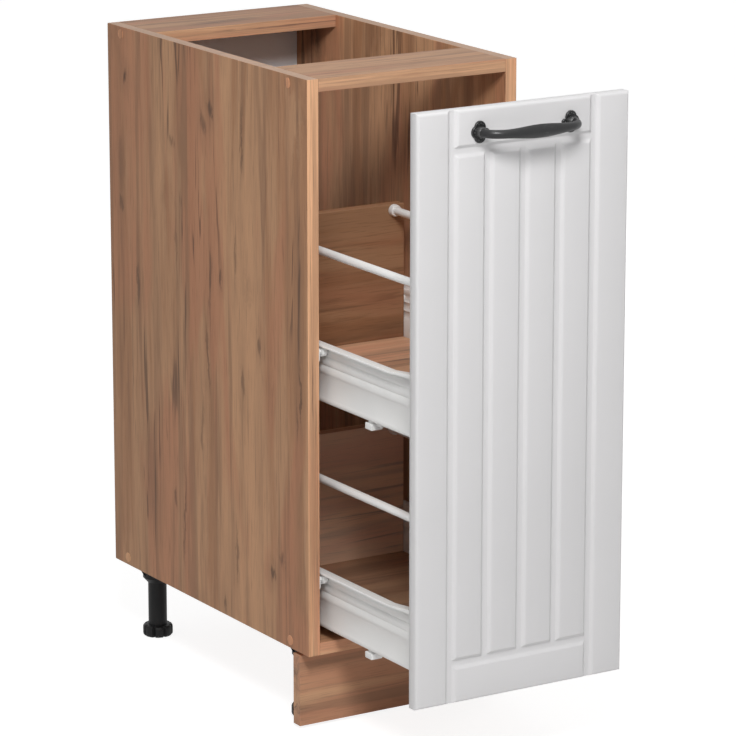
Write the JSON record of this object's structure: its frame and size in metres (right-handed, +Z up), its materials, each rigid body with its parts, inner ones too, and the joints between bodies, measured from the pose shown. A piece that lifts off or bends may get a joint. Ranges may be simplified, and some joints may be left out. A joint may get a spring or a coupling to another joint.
{
  "type": "pull-out pantry cabinet",
  "caption": "Narrow base cabinet on adjustable legs with a full-height grooved front that pulls out stacked steel-sided drawers with railings.",
  "frame": {"origin": "middle of the footprint on the floor, with the front pulled out as shown", "axes": "+X to the right seen from the front, +Y from the front panel to the back, +Z up"},
  "size_m": [0.3012, 0.783, 0.82],
  "materials": {
    "laminate": "satin",
    "drawer_laminate": "satin",
    "hardboard": "matte",
    "white_film": "matte",
    "white_steel": "satin",
    "white_plastic": "matte",
    "black_plastic": "matte",
    "graphite_metal": "satin",
    "zinc_plated_steel": "satin"
  },
  "bodies": {
    "carcass": {"side_panel_left": "laminate", "side_panel_right": "laminate", "bottom_panel": "laminate", "top_rail_front": "laminate", "top_rail_rear": "laminate", "hardboard_back": "hardboard", "back_nails": "zinc_plated_steel", "confirmat_screws": "zinc_plated_steel", "cover_caps": "laminate", "leg_socket_front_left": "black_plastic", "leg_socket_front_right": "black_plastic", "leg_socket_rear_left": "black_plastic", "leg_socket_rear_right": "black_plastic", "leg_tube_front_left": "black_plastic", "leg_tube_front_right": "black_plastic", "leg_tube_rear_left": "black_plastic", "leg_tube_rear_right": "black_plastic", "leg_screws": "zinc_plated_steel", "runner_upper_left": "white_steel", "runner_upper_right": "white_steel", "runner_lower_left": "white_steel", "runner_lower_right": "white_steel", "runner_screws": "zinc_plated_steel"},
    "pullout": {"front_panel": "white_film", "bumper_pads": "white_plastic", "handle_bow": "graphite_metal", "handle_rosettes": "graphite_metal", "handle_screws": "zinc_plated_steel", "upper_side_left": "white_steel", "upper_side_right": "white_steel", "upper_bottom": "drawer_laminate", "upper_back": "drawer_laminate", "upper_rail_left": "white_steel", "upper_rail_right": "white_steel", "upper_rail_sockets": "white_plastic", "upper_front_brackets": "zinc_plated_steel", "upper_clips": "white_plastic", "upper_screws": "zinc_plated_steel", "lower_side_left": "white_steel", "lower_side_right": "white_steel", "lower_bottom": "drawer_laminate", "lower_back": "drawer_laminate", "lower_rail_left": "white_steel", "lower_rail_right": "white_steel", "lower_rail_sockets": "white_plastic", "lower_front_brackets": "zinc_plated_steel", "lower_clips": "white_plastic", "lower_screws": "zinc_plated_steel"},
    "front_rollers_upper": {"front_rollers_upper": "white_plastic"},
    "front_rollers_lower": {"front_rollers_lower": "white_plastic"},
    "upper_rear_rollers": {"upper_rear_rollers": "white_plastic"},
    "lower_rear_rollers": {"lower_rear_rollers": "white_plastic"},
    "plinth": {"plinth": "laminate", "plinth_clips": "black_plastic", "plinth_screws": "zinc_plated_steel"},
    "foot_front_left": {"foot_front_left": "black_plastic"},
    "foot_front_right": {"foot_front_right": "black_plastic"},
    "foot_rear_left": {"foot_rear_left": "black_plastic"},
    "foot_rear_right": {"foot_rear_right": "black_plastic"}
  },
  "joints": [
    {"name": "pull_out", "type": "slide", "parent": "carcass", "child": "pullout", "axis": [0, -1, 0], "range_m": [-0.224, 0.11]},
    {"name": "front_rollers_upper_spin", "type": "hinge", "parent": "carcass", "child": "front_rollers_upper", "pos_m": [0, -0.1055, 0.4845], "axis": [1, 0, 0], "range_deg": [-1850, 910]},
    {"name": "upper_rear_rollers_spin", "type": "hinge", "parent": "pullout", "child": "upper_rear_rollers", "pos_m": [0, 0.1005, 0.48075], "axis": [1, 0, 0], "range_deg": [-820, 1670]},
    {"name": "front_rollers_lower_spin", "type": "hinge", "parent": "carcass", "child": "front_rollers_lower", "pos_m": [0, -0.1055, 0.1965], "axis": [1, 0, 0], "range_deg": [-1850, 910]},
    {"name": "lower_rear_rollers_spin", "type": "hinge", "parent": "pullout", "child": "lower_rear_rollers", "pos_m": [0, 0.1005, 0.19275], "axis": [1, 0, 0], "range_deg": [-820, 1670]},
    {"name": "foot_front_left_screw_in", "type": "slide", "parent": "carcass", "child": "foot_front_left", "axis": [0, 0, 1], "range_m": [0, 0.008]},
    {"name": "foot_front_right_screw_in", "type": "slide", "parent": "carcass", "child": "foot_front_right", "axis": [0, 0, 1], "range_m": [0, 0.008]},
    {"name": "foot_rear_left_screw_in", "type": "slide", "parent": "carcass", "child": "foot_rear_left", "axis": [0, 0, 1], "range_m": [0, 0.008]},
    {"name": "foot_rear_right_screw_in", "type": "slide", "parent": "carcass", "child": "foot_rear_right", "axis": [0, 0, 1], "range_m": [0, 0.008]},
    {"name": "plinth_pull", "type": "slide", "parent": "carcass", "child": "plinth", "axis": [0, -1, 0], "range_m": [0, 0.04]}
  ],
  "couplings": [
    {"joint": "front_rollers_upper_spin", "follows": "pull_out", "rad_per_m": 142.86},
    {"joint": "upper_rear_rollers_spin", "follows": "pull_out", "rad_per_m": -129.03},
    {"joint": "front_rollers_lower_spin", "follows": "pull_out", "rad_per_m": 142.86},
    {"joint": "lower_rear_rollers_spin", "follows": "pull_out", "rad_per_m": -129.03}
  ]
}
